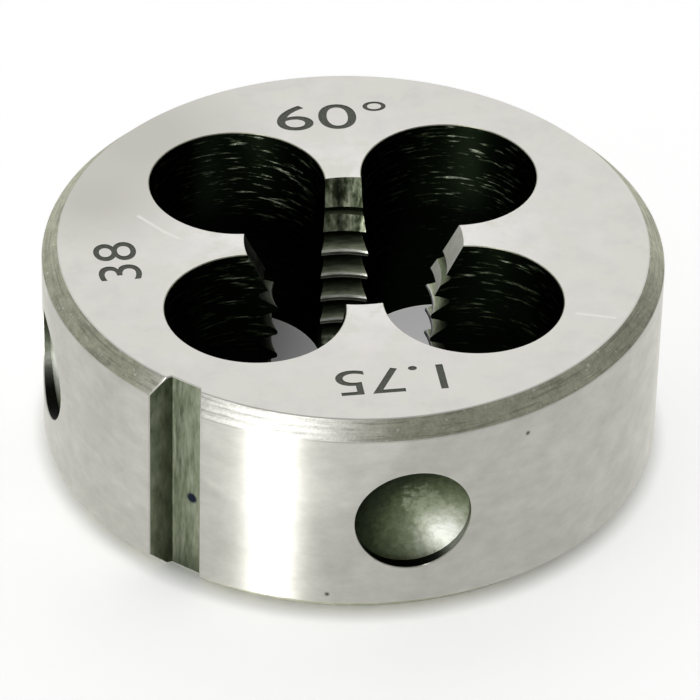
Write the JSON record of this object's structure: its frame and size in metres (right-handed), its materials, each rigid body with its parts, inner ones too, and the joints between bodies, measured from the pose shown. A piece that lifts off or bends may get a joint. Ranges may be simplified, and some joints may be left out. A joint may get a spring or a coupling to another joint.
{
  "type": "round threading die",
  "caption": "Round threading die: a chamfered steel disc with a metric threaded bore, chip holes between toothed lands, a rim groove and screw seats.",
  "frame": {"origin": "centre of the lower face, on the axis of the thread", "axes": "+Z along the axis of the thread, out of the upper face; the toothed lands stand on +X, +Y, -X and -Y, and the adjusting groove in the rim is 230.6 degrees round from +X"},
  "size_m": [0.038, 0.038, 0.014],
  "materials": {
    "ground_steel": "ground and turned high-speed steel, satin"
  },
  "bodies": {
    "root": {"threading_die": "ground_steel"}
  },
  "joints": []
}
